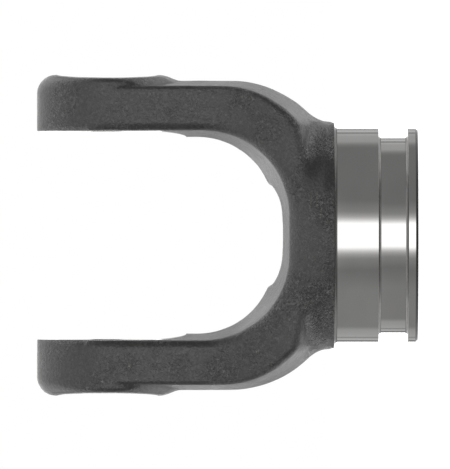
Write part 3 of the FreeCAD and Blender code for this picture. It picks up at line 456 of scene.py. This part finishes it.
def forged_material():
    mat = bpy.data.materials.new("forged_scale")
    mat.use_nodes = True
    t = mat.node_tree
    t.nodes.clear()
    out = node(t, "ShaderNodeOutputMaterial")
    bsdf = node(t, "ShaderNodeBsdfPrincipled")
    bsdf.inputs["IOR"].default_value = 1.66
    bsdf.inputs["Metallic"].default_value = 0.0
    bsdf.inputs["Sheen Weight"].default_value = 0.12
    bsdf.inputs["Sheen Roughness"].default_value = 0.38
    link(t, bsdf.outputs["BSDF"], out.inputs["Surface"])
    co = node(t, "ShaderNodeTexCoord")
    # broad tone of the scale, finer specks on it
    broad = node(t, "ShaderNodeTexNoise", Scale=95.0, Detail=4.0, Roughness=0.6)
    speck = node(t, "ShaderNodeTexNoise", Scale=1700.0, Detail=2.0, Roughness=0.6)
    link(t, co.outputs["Object"], broad.inputs["Vector"])
    link(t, co.outputs["Object"], speck.inputs["Vector"])
    tone = ramp(t, [(0.30, (0.0182, 0.0182, 0.0178)), (0.52, (0.0214, 0.0214, 0.0213)), (0.72, (0.0252, 0.0249, 0.0243))])
    link(t, broad.outputs["Fac"], tone.inputs["Fac"])
    dots = ramp(t, [(0.36, (0.60, 0.60, 0.60)), (0.53, (1.0, 1.0, 1.0)), (0.68, (1.65, 1.64, 1.60))])
    link(t, speck.outputs["Fac"], dots.inputs["Fac"])
    mul = node(t, "ShaderNodeMix", data_type="RGBA", blend_type="MULTIPLY")
    mul.inputs["Factor"].default_value = 1.0
    link(t, tone.outputs["Color"], mul.inputs["A"])
    link(t, dots.outputs["Color"], mul.inputs["B"])
    rough = node(t, "ShaderNodeMapRange")
    rough.inputs["To Min"].default_value = 0.30
    rough.inputs["To Max"].default_value = 0.40
    link(t, broad.outputs["Fac"], rough.inputs["Value"])
    # grain: shot-blasted scale; its small wrinkles are stronger in patches, and near the collar
    grain = node(t, "ShaderNodeTexNoise", Scale=1150.0, Detail=4.0, Roughness=0.62)
    wrinkle = node(t, "ShaderNodeTexNoise", Scale=420.0, Detail=2.0, Roughness=0.5, Distortion=1.6)
    fine = node(t, "ShaderNodeTexNoise", Scale=1200.0, Detail=1.0, Roughness=0.5, Distortion=1.4)
    where = node(t, "ShaderNodeTexNoise", Scale=78.0, Detail=2.0, Roughness=0.5)
    for tex in (grain, wrinkle, fine, where):
        link(t, co.outputs["Object"], tex.inputs["Vector"])
    patch = node(t, "ShaderNodeMapRange")
    patch.interpolation_type = "SMOOTHSTEP"
    patch.inputs["From Min"].default_value = 0.44
    patch.inputs["From Max"].default_value = 0.60
    patch.inputs["To Min"].default_value = 0.42
    patch.inputs["To Max"].default_value = 1.15
    link(t, where.outputs["Fac"], patch.inputs["Value"])
    split = node(t, "ShaderNodeSeparateXYZ")
    link(t, co.outputs["Object"], split.inputs["Vector"])
    near = node(t, "ShaderNodeMapRange")
    near.interpolation_type = "SMOOTHSTEP"
    near.inputs["From Min"].default_value = 0.037
    near.inputs["From Max"].default_value = 0.028
    near.inputs["To Min"].default_value = 1.0
    near.inputs["To Max"].default_value = 1.65
    link(t, split.outputs["Z"], near.inputs["Value"])
    both = node(t, "ShaderNodeMath", operation="MULTIPLY")
    link(t, patch.outputs["Result"], both.inputs[0])
    link(t, near.outputs["Result"], both.inputs[1])
    # the skin is smoother in one hollow beside the collar, and on the walls that the die draws along
    off = node(t, "ShaderNodeMath", operation="SUBTRACT")
    off.inputs[1].default_value = 0.0170
    link(t, split.outputs["X"], off.inputs[0])
    off_z = node(t, "ShaderNodeMath", operation="SUBTRACT")
    off_z.inputs[1].default_value = 0.0270
    link(t, split.outputs["Z"], off_z.inputs[0])
    dist_x = node(t, "ShaderNodeMath", operation="MULTIPLY")
    link(t, off.outputs[0], dist_x.inputs[0])
    link(t, off.outputs[0], dist_x.inputs[1])
    dist = node(t, "ShaderNodeMath", operation="MULTIPLY_ADD")
    link(t, off_z.outputs[0], dist.inputs[0])
    link(t, off_z.outputs[0], dist.inputs[1])
    link(t, dist_x.outputs[0], dist.inputs[2])
    calm = node(t, "ShaderNodeMapRange")
    calm.interpolation_type = "SMOOTHSTEP"
    calm.inputs["From Min"].default_value = 0.0035 ** 2
    calm.inputs["From Max"].default_value = 0.0072 ** 2
    calm.inputs["To Min"].default_value = 0.08
    calm.inputs["To Max"].default_value = 1.0
    link(t, dist.outputs[0], calm.inputs["Value"])
    turned_to = node(t, "ShaderNodeSeparateXYZ")
    link(t, co.outputs["Normal"], turned_to.inputs["Vector"])
    facing = node(t, "ShaderNodeMath", operation="ABSOLUTE")
    link(t, turned_to.outputs["Y"], facing.inputs[0])
    wall = node(t, "ShaderNodeMapRange")
    wall.interpolation_type = "SMOOTHSTEP"
    wall.inputs["From Min"].default_value = 0.15
    wall.inputs["From Max"].default_value = 0.60
    wall.inputs["To Min"].default_value = 0.25
    wall.inputs["To Max"].default_value = 1.0
    link(t, facing.outputs[0], wall.inputs["Value"])
    less = node(t, "ShaderNodeMath", operation="MULTIPLY")
    link(t, calm.outputs["Result"], less.inputs[0])
    link(t, wall.outputs["Result"], less.inputs[1])
    much = node(t, "ShaderNodeMath", operation="MULTIPLY")
    link(t, both.outputs[0], much.inputs[0])
    link(t, less.outputs[0], much.inputs[1])
    centred = node(t, "ShaderNodeMath", operation="SUBTRACT")
    centred.inputs[1].default_value = 0.5
    link(t, fine.outputs["Fac"], centred.inputs[0])
    pits = node(t, "ShaderNodeMath", operation="MULTIPLY")
    link(t, centred.outputs[0], pits.inputs[0])
    link(t, much.outputs[0], pits.inputs[1])
    dull = node(t, "ShaderNodeMath", operation="MULTIPLY_ADD")
    dull.inputs[1].default_value = -0.70
    link(t, pits.outputs[0], dull.inputs[0])
    link(t, rough.outputs["Result"], dull.inputs[2])
    link(t, dull.outputs[0], bsdf.inputs["Roughness"])
    # painted shade and highlight: the base colour is darkened where the grain is low and brightened up to threefold
    # where it is raised, standing in for shade in the pits and glints on the ridges
    painted_pit_shade_and_highlight = ramp(t, [(0.30, (0.45, 0.45, 0.45)), (0.50, (1.0, 1.0, 1.0)), (0.60, (1.6, 1.6, 1.57)), (0.72, (2.9, 2.88, 2.8))])
    lift = node(t, "ShaderNodeMath", operation="ADD")
    lift.inputs[1].default_value = 0.5
    link(t, pits.outputs[0], lift.inputs[0])
    link(t, lift.outputs[0], painted_pit_shade_and_highlight.inputs["Fac"])
    mul2 = node(t, "ShaderNodeMix", data_type="RGBA", blend_type="MULTIPLY")
    mul2.inputs["Factor"].default_value = 1.0
    link(t, mul.outputs["Result"], mul2.inputs["A"])
    link(t, painted_pit_shade_and_highlight.outputs["Color"], mul2.inputs["B"])
    link(t, mul2.outputs["Result"], bsdf.inputs["Base Color"])
    b0 = node(t, "ShaderNodeBump")
    b0.inputs["Strength"].default_value = 0.8
    b0.inputs["Distance"].default_value = 0.00040
    b1 = node(t, "ShaderNodeBump")
    b1.inputs["Strength"].default_value = 0.45
    b1.inputs["Distance"].default_value = 0.00020
    b2 = node(t, "ShaderNodeBump")
    b2.inputs["Strength"].default_value = 0.42
    b2.inputs["Distance"].default_value = 0.00030
    link(t, pits.outputs[0], b0.inputs["Height"])
    link(t, grain.outputs["Fac"], b1.inputs["Height"])
    link(t, wrinkle.outputs["Fac"], b2.inputs["Height"])
    link(t, b0.outputs["Normal"], b1.inputs["Normal"])
    link(t, b1.outputs["Normal"], b2.inputs["Normal"])
    link(t, b2.outputs["Normal"], bsdf.inputs["Normal"])
    return mat


def machined_material():
    mat = bpy.data.materials.new("machined_steel")
    mat.use_nodes = True
    t = mat.node_tree
    t.nodes.clear()
    out = node(t, "ShaderNodeOutputMaterial")
    bsdf = node(t, "ShaderNodeBsdfPrincipled")
    bsdf.inputs["Metallic"].default_value = 1.0
    link(t, bsdf.outputs["BSDF"], out.inputs["Surface"])
    co = node(t, "ShaderNodeTexCoord")
    broad = node(t, "ShaderNodeTexNoise", Scale=60.0, Detail=2.0, Roughness=0.5)
    link(t, co.outputs["Object"], broad.inputs["Vector"])
    tone = ramp(t, [(0.35, (0.535, 0.530, 0.522)), (0.65, (0.585, 0.580, 0.572))])
    link(t, broad.outputs["Fac"], tone.inputs["Fac"])
    link(t, tone.outputs["Color"], bsdf.inputs["Base Color"])
    # fine tool marks: bands that differ along each turned axis
    marks = node(t, "ShaderNodeTexNoise", Scale=1.0, Detail=3.0, Roughness=0.6)
    stretch = node(t, "ShaderNodeMapping")
    stretch.inputs["Scale"].default_value = (18.0, 18.0, 2600.0)
    link(t, co.outputs["Object"], stretch.inputs["Vector"])
    link(t, stretch.outputs["Vector"], marks.inputs["Vector"])
    rough = node(t, "ShaderNodeMapRange")
    rough.inputs["To Min"].default_value = 0.05
    rough.inputs["To Max"].default_value = 0.11
    link(t, marks.outputs["Fac"], rough.inputs["Value"])
    link(t, rough.outputs["Result"], bsdf.inputs["Roughness"])
    bump = node(t, "ShaderNodeBump")
    bump.inputs["Strength"].default_value = 0.12
    bump.inputs["Distance"].default_value = 0.00002
    link(t, marks.outputs["Fac"], bump.inputs["Height"])
    link(t, bump.outputs["Normal"], bsdf.inputs["Normal"])
    return mat


def shaded_corner_material():
    """fillets and chamfers of the turned part, rougher than its lands and painted darker as shade"""
    mat = bpy.data.materials.new("turned_corner_painted_shade")
    mat.use_nodes = True
    t = mat.node_tree
    t.nodes.clear()
    out = node(t, "ShaderNodeOutputMaterial")
    bsdf = node(t, "ShaderNodeBsdfPrincipled")
    bsdf.inputs["Metallic"].default_value = 1.0
    link(t, bsdf.outputs["BSDF"], out.inputs["Surface"])
    co = node(t, "ShaderNodeTexCoord")
    spots = node(t, "ShaderNodeTexNoise", Scale=240.0, Detail=3.0, Roughness=0.6)
    link(t, co.outputs["Object"], spots.inputs["Vector"])
    # painted shade: the base colour here is less than half that of the lands
    tone = ramp(t, [(0.35, (0.205, 0.203, 0.199)), (0.65, (0.275, 0.272, 0.267))])
    link(t, spots.outputs["Fac"], tone.inputs["Fac"])
    # the end chamfer is painted near black, as painted shade
    split = node(t, "ShaderNodeSeparateXYZ")
    link(t, co.outputs["Object"], split.inputs["Vector"])
    end = node(t, "ShaderNodeMapRange")
    end.inputs["From Min"].default_value = 0.0014
    end.inputs["From Max"].default_value = 0.0008
    link(t, split.outputs["Z"], end.inputs["Value"])
    both = node(t, "ShaderNodeMix", data_type="RGBA")
    link(t, end.outputs["Result"], both.inputs["Factor"])
    link(t, tone.outputs["Color"], both.inputs["A"])
    both.inputs["B"].default_value = (0.030, 0.030, 0.030, 1.0)
    # the fillet at the collar is painted darker too, as painted shade
    root = node(t, "ShaderNodeMapRange")
    root.inputs["From Min"].default_value = 0.0205
    root.inputs["From Max"].default_value = 0.0215
    link(t, split.outputs["Z"], root.inputs["Value"])
    deep = node(t, "ShaderNodeMix", data_type="RGBA")
    link(t, root.outputs["Result"], deep.inputs["Factor"])
    link(t, both.outputs["Result"], deep.inputs["A"])
    deep.inputs["B"].default_value = (0.135, 0.134, 0.131, 1.0)
    link(t, deep.outputs["Result"], bsdf.inputs["Base Color"])
    rough = node(t, "ShaderNodeMapRange")
    rough.inputs["To Min"].default_value = 0.30
    rough.inputs["To Max"].default_value = 0.42
    link(t, spots.outputs["Fac"], rough.inputs["Value"])
    link(t, rough.outputs["Result"], bsdf.inputs["Roughness"])
    return mat


FORGED, MACHINED, SHADED_CORNER = forged_material(), machined_material(), shaded_corner_material()

# --------------------------------------------------------------------------------------------------- machining
for obj in [yoke] + cutters:
    obj.data.materials.append(FORGED)
    obj.data.materials.append(MACHINED)
    obj.data.materials.append(SHADED_CORNER)
for c in cutters:
    c.data.polygons.foreach_set("material_index", [1] * len(c.data.polygons))


def closed(mesh):
    edge_use = np.zeros(len(mesh.edges), np.int32)
    loops = np.empty(len(mesh.loops), np.int32)
    mesh.loops.foreach_get("edge_index", loops)
    np.add.at(edge_use, loops, 1)
    return bool((edge_use == 2).all())


for c in cutters:
    for solver in ("MANIFOLD", "EXACT"):
        mod = yoke.modifiers.new("cut", "BOOLEAN")
        mod.operation = "DIFFERENCE"
        mod.object = c
        mod.solver = solver
        if hasattr(mod, "material_mode"):
            mod.material_mode = "INDEX"
        deps = bpy.context.evaluated_depsgraph_get()
        mesh = bpy.data.meshes.new_from_object(yoke.evaluated_get(deps), preserve_all_data_layers=True, depsgraph=deps)
        yoke.modifiers.clear()
        moved = len(mesh.polygons) != len(yoke.data.polygons)
        index = np.zeros(len(mesh.polygons), np.int32)
        mesh.polygons.foreach_get("material_index", index)
        print("cut", c.name, solver, len(mesh.polygons), "machined", int((index == 1).sum()), "closed", closed(mesh))
        if moved and (index == 1).any() and closed(mesh):
            old = yoke.data
            yoke.data = mesh
            bpy.data.meshes.remove(old)
            break
        bpy.data.meshes.remove(mesh)
    else:
        raise RuntimeError("the cut failed: " + c.name)
for c in cutters:
    data = c.data
    bpy.data.objects.remove(c)
    bpy.data.meshes.remove(data)

mesh = yoke.data
mesh.name = "yoke_body"
mesh.calc_loop_triangles()
print("machined", len(mesh.polygons), "triangles", len(mesh.loop_triangles), round(time.time() - T0, 1), "s")


def finish_normals(mesh):
    """sharp machined edges; the forged skin takes its normals from the field itself"""
    n_e, n_l, n_p = len(mesh.edges), len(mesh.loops), len(mesh.polygons)
    mat = np.empty(n_p, np.int32)
    mesh.polygons.foreach_get("material_index", mat)
    pn = np.empty(n_p * 3)
    mesh.polygons.foreach_get("normal", pn)
    pn = pn.reshape(-1, 3)
    le, lv = np.empty(n_l, np.int32), np.empty(n_l, np.int32)
    mesh.loops.foreach_get("edge_index", le)
    mesh.loops.foreach_get("vertex_index", lv)
    total = np.empty(n_p, np.int32)
    mesh.polygons.foreach_get("loop_total", total)
    lp = np.repeat(np.arange(n_p), total)
    order = np.argsort(le, kind="stable")
    first, second = lp[order[0::2]], lp[order[1::2]]
    dots = np.einsum("ij,ij->i", pn[first], pn[second])
    both_machined = (mat[first] > 0) & (mat[second] > 0)
    sharp = ((mat[first] > 0) != (mat[second] > 0)) | (both_machined & (dots < math.cos(math.radians(24.0))))
    edge_sharp = np.zeros(n_e, bool)
    edge_sharp[le[order[0::2]]] = sharp
    attr = mesh.attributes.get("sharp_edge") or mesh.attributes.new("sharp_edge", "BOOLEAN", "EDGE")
    attr.data.foreach_set("value", edge_sharp)
    mesh.polygons.foreach_set("use_smooth", np.ones(n_p, bool))
    co = np.empty(len(mesh.vertices) * 3)
    mesh.vertices.foreach_get("co", co)
    co = co.reshape(-1, 3) * 1000.0
    forged = mat[lp] == 0
    need = np.unique(lv[forged])
    g = gradient(*co[need].T)
    g /= np.maximum(np.linalg.norm(g, axis=1), 1e-9)[:, None]
    normals = np.zeros((len(mesh.vertices), 3))
    normals[need] = g
    loop_normals = np.where(forged[:, None], normals[lv], 0.0)
    # a normal that would lean away from its face is left to the mesh
    lean = np.einsum("ij,ij->i", loop_normals, pn[lp]) < 0.3
    loop_normals[lean] = 0.0
    mesh.normals_split_custom_set(loop_normals.tolist())


def shade_turned_corners(mesh):
    """faces of the hub that lean between the axis and the radius belong to its fillets and chamfers; they get the
    painted-shade material
    """
    n_p = len(mesh.polygons)
    mat, pn, pc = np.empty(n_p, np.int32), np.empty(n_p * 3), np.empty(n_p * 3)
    mesh.polygons.foreach_get("material_index", mat)
    mesh.polygons.foreach_get("normal", pn)
    mesh.polygons.foreach_get("center", pc)
    pn, pc = pn.reshape(-1, 3), pc.reshape(-1, 3) * 1000.0
    lean = np.abs(pn[:, 2])
    corner = (mat == 1) & (np.hypot(pc[:, 0], pc[:, 1]) > 26.0) & (pc[:, 2] < 26.0) & (lean > 0.12) & (lean < 0.999)
    mat[corner] = 2
    mesh.polygons.foreach_set("material_index", mat)
    print("corner faces", int(corner.sum()))


finish_normals(mesh)
shade_turned_corners(mesh)
print("normals", round(time.time() - T0, 1), "s")

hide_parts("forged_yoke")
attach(yoke, "root")

# ------------------------------------------------------------------------------------- floor, light and camera
K = 0.00027667                      # metres per pixel of the photograph, at the object's middle plane
floor = make_object("floor", np.array([(-4000, -4000, -0.02), (4000, -4000, -0.02), (4000, 4000, -0.02),
                                       (-4000, 4000, -0.02)], float), [(0, 1, 2, 3)], smooth=False)
fm = bpy.data.materials.new("pale_floor")
fm.use_nodes = True
fb = fm.node_tree.nodes["Principled BSDF"]
fb.inputs["Base Color"].default_value = (0.86, 0.86, 0.86, 1.0)
fb.inputs["Roughness"].default_value = 0.9
fb.inputs["Emission Color"].default_value = (1.0, 1.0, 1.0, 1.0)
fb.inputs["Emission Strength"].default_value = 0.62
fm.cycles.emission_sampling = "NONE"
floor.data.materials.append(fm)
floor.visible_diffuse = False
floor.visible_glossy = False

# Studio light: one long soft strip behind the camera, grey flanks, a white backdrop. It is the same all along
# the direction of the strip, so it is given as brightness against the angle about Z.
world = bpy.data.worlds.new("studio")
bpy.context.scene.world = world
world.use_nodes = True
wt = world.node_tree
wt.nodes.clear()
w_out = node(wt, "ShaderNodeOutputWorld")
co = node(wt, "ShaderNodeTexCoord")
sep = node(wt, "ShaderNodeSeparateXYZ")
link(wt, co.outputs["Generated"], sep.inputs["Vector"])
neg = node(wt, "ShaderNodeMath", operation="MULTIPLY")
neg.inputs[1].default_value = -1.0
link(wt, sep.outputs["Y"], neg.inputs[0])
ang = node(wt, "ShaderNodeMath", operation="ARCTAN2")
link(wt, sep.outputs["X"], ang.inputs[0])
link(wt, neg.outputs[0], ang.inputs[1])
# the strip and the dark flanks keep their width up and down the shaft: the angle shrinks with the elevation in
# front of the part, and not behind it
flat = node(wt, "ShaderNodeMath", operation="MULTIPLY")
link(wt, sep.outputs["Z"], flat.inputs[0])
link(wt, sep.outputs["Z"], flat.inputs[1])
level = node(wt, "ShaderNodeMath", operation="SUBTRACT")
level.inputs[0].default_value = 1.0
link(wt, flat.outputs[0], level.inputs[1])
root = node(wt, "ShaderNodeMath", operation="SQRT")
link(wt, level.outputs[0], root.inputs[0])
size = node(wt, "ShaderNodeMath", operation="ABSOLUTE")
link(wt, ang.outputs[0], size.inputs[0])
behind = node(wt, "ShaderNodeMapRange")
behind.inputs["From Min"].default_value = math.radians(50.0)
behind.inputs["From Max"].default_value = math.radians(110.0)
link(wt, size.outputs[0], behind.inputs["Value"])
keep = node(wt, "ShaderNodeMapRange")
keep.inputs["From Min"].default_value = 0.0
keep.inputs["From Max"].default_value = 1.0
keep.inputs["To Max"].default_value = 1.0
link(wt, behind.outputs["Result"], keep.inputs["Value"])
link(wt, root.outputs[0], keep.inputs["To Min"])
shrunk = node(wt, "ShaderNodeMath", operation="MULTIPLY")
link(wt, ang.outputs[0], shrunk.inputs[0])
link(wt, keep.outputs["Result"], shrunk.inputs[1])
turn = node(wt, "ShaderNodeMath", operation="MULTIPLY_ADD")
turn.inputs[1].default_value = 1.0 / (2.0 * math.pi)
turn.inputs[2].default_value = 0.5
link(wt, shrunk.outputs[0], turn.inputs[0])


def grey(v):
    return (v, v, v)


def at(deg, v):
    return (deg / 360.0 + 0.5, grey(v))


STRIP, FRONT = 1.95, 0.95
below = [at(-180, 2.3), at(-168.5, 2.3), at(-167, 0.14), at(-161.5, 0.14), at(-160, 0.32), at(-156, 0.32),
         at(-154.5, 0.62), at(-151.5, 0.61), at(-150, 0.53), at(-146.5, 0.52), at(-145.5, 0.30), at(-143.5, 0.30),
         at(-142, 0.56), at(-139, 0.53), at(-124, 0.49), at(-117, 0.33), at(-62, 0.32), at(-38, 0.25),
         at(-25, 0.36), at(-20, 0.6), at(-16.5, 1.05), at(-12.5, STRIP)]
above = [at(12.5, STRIP), at(16.5, 1.05), at(20, 0.6), at(25, 0.36), at(38, 0.24), at(109, 0.235), at(114, 0.28),
         at(117.5, 0.36), at(122, 0.49), at(137.5, 0.50), at(139, 0.64), at(140.5, 0.62), at(142, 0.35),
         at(148, 0.37), at(149.5, 0.68), at(152.5, 0.66), at(154, 0.58), at(158.5, 0.57), at(160, 0.13),
         at(164.0, 0.13), at(165.5, 1.55), at(180, 1.6)]
band_below, band_above = ramp(wt, below), ramp(wt, above)
link(wt, turn.outputs[0], band_below.inputs["Fac"])
link(wt, turn.outputs[0], band_above.inputs["Fac"])
half = node(wt, "ShaderNodeMath", operation="GREATER_THAN")
half.inputs[1].default_value = 0.5
link(wt, turn.outputs[0], half.inputs[0])
band = node(wt, "ShaderNodeMix", data_type="RGBA")
link(wt, half.outputs[0], band.inputs["Factor"])
link(wt, band_below.outputs["Color"], band.inputs["A"])
link(wt, band_above.outputs["Color"], band.inputs["B"])
# above and below that level the room is softer: a wide light in front, large pale walls beside and behind
soft = [at(-180, 0.95), at(-150, 1.02), at(-132, 1.50), at(-118, 1.65), at(-98, 1.55), at(-82, 1.25), at(-70, 0.75),
        at(-62, 0.65), at(-52, FRONT * 0.9), at(-40, FRONT), at(40, FRONT), at(52, FRONT * 0.85), at(62, 0.50),
        at(72, 0.60), at(86, 1.20), at(100, 1.50), at(118, 1.60), at(132, 1.45), at(150, 1.02), at(180, 0.95)]
room = ramp(wt, soft)
link(wt, turn.outputs[0], room.inputs["Fac"])
# towards the hub's end the front light is narrow, with dim flanks
deep = [at(-180, 0.95), at(-150, 1.02), at(-132, 1.50), at(-118, 1.65), at(-98, 1.40), at(-84, 0.95), at(-74, 0.50),
        at(-64, 0.34), at(-40, 0.32), at(-24, 0.55), at(-14, FRONT), at(14, FRONT), at(24, 0.50), at(40, 0.30),
        at(64, 0.32), at(74, 0.42), at(86, 0.95), at(100, 1.45), at(118, 1.60), at(132, 1.45), at(150, 1.02),
        at(180, 0.95)]
end = ramp(wt, deep)
link(wt, turn.outputs[0], end.inputs["Fac"])
down = node(wt, "ShaderNodeMapRange")
down.interpolation_type = "SMOOTHSTEP"
down.inputs["From Min"].default_value = 0.0
down.inputs["From Max"].default_value = -0.25
link(wt, sep.outputs["Z"], down.inputs["Value"])
rooms = node(wt, "ShaderNodeMix", data_type="RGBA")
link(wt, down.outputs["Result"], rooms.inputs["Factor"])
link(wt, room.outputs["Color"], rooms.inputs["A"])
link(wt, end.outputs["Color"], rooms.inputs["B"])
rise = node(wt, "ShaderNodeMath", operation="ABSOLUTE")
link(wt, sep.outputs["Z"], rise.inputs[0])
over = node(wt, "ShaderNodeMapRange")
over.interpolation_type = "SMOOTHSTEP"
over.inputs["From Min"].default_value = 0.12
over.inputs["From Max"].default_value = 0.36
link(wt, rise.outputs[0], over.inputs["Value"])
both = node(wt, "ShaderNodeMix", data_type="RGBA")
link(wt, over.outputs["Result"], both.inputs["Factor"])
link(wt, band.outputs["Result"], both.inputs["A"])
link(wt, rooms.outputs["Result"], both.inputs["B"])
light = node(wt, "ShaderNodeBackground")
link(wt, both.outputs["Result"], light.inputs["Color"])
plain = node(wt, "ShaderNodeBackground")
plain.inputs["Color"].default_value = (1.0, 1.0, 1.0, 1.0)
path = node(wt, "ShaderNodeLightPath")
pick = node(wt, "ShaderNodeMixShader")
link(wt, path.outputs["Is Camera Ray"], pick.inputs["Fac"])
link(wt, light.outputs[0], pick.inputs[1])
link(wt, plain.outputs[0], pick.inputs[2])
link(wt, pick.outputs[0], w_out.inputs["Surface"])

DIST = 5.0
cam_data = bpy.data.cameras.new("camera")
cam_data.type = "PERSP"
cam_data.sensor_fit = "VERTICAL"
cam_data.sensor_height = 36.0
cam_data.lens = 36.0 * DIST / (469.0 * K)
cam_data.clip_start = 0.1
cam_data.clip_end = 100.0
camera = bpy.data.objects.new("camera", cam_data)
bpy.context.scene.collection.objects.link(camera)
right, up, back = Vector((0, 0, -1)), Vector((1, 0, 0)), Vector((0, -1, 0))
pos = Vector(((235.30 - 234.5) * K, -DIST, (417.4 - 225.0) * K))
camera.matrix_world = Matrix(((right.x, up.x, back.x, pos.x), (right.y, up.y, back.y, pos.y),
                              (right.z, up.z, back.z, pos.z), (0, 0, 0, 1)))
bpy.context.scene.camera = camera
bpy.context.scene.view_settings.view_transform = "Standard"
bpy.context.scene.view_settings.look = "None"

bpy.context.view_layer.update()
print("ready", round(time.time() - T0, 1), "s")
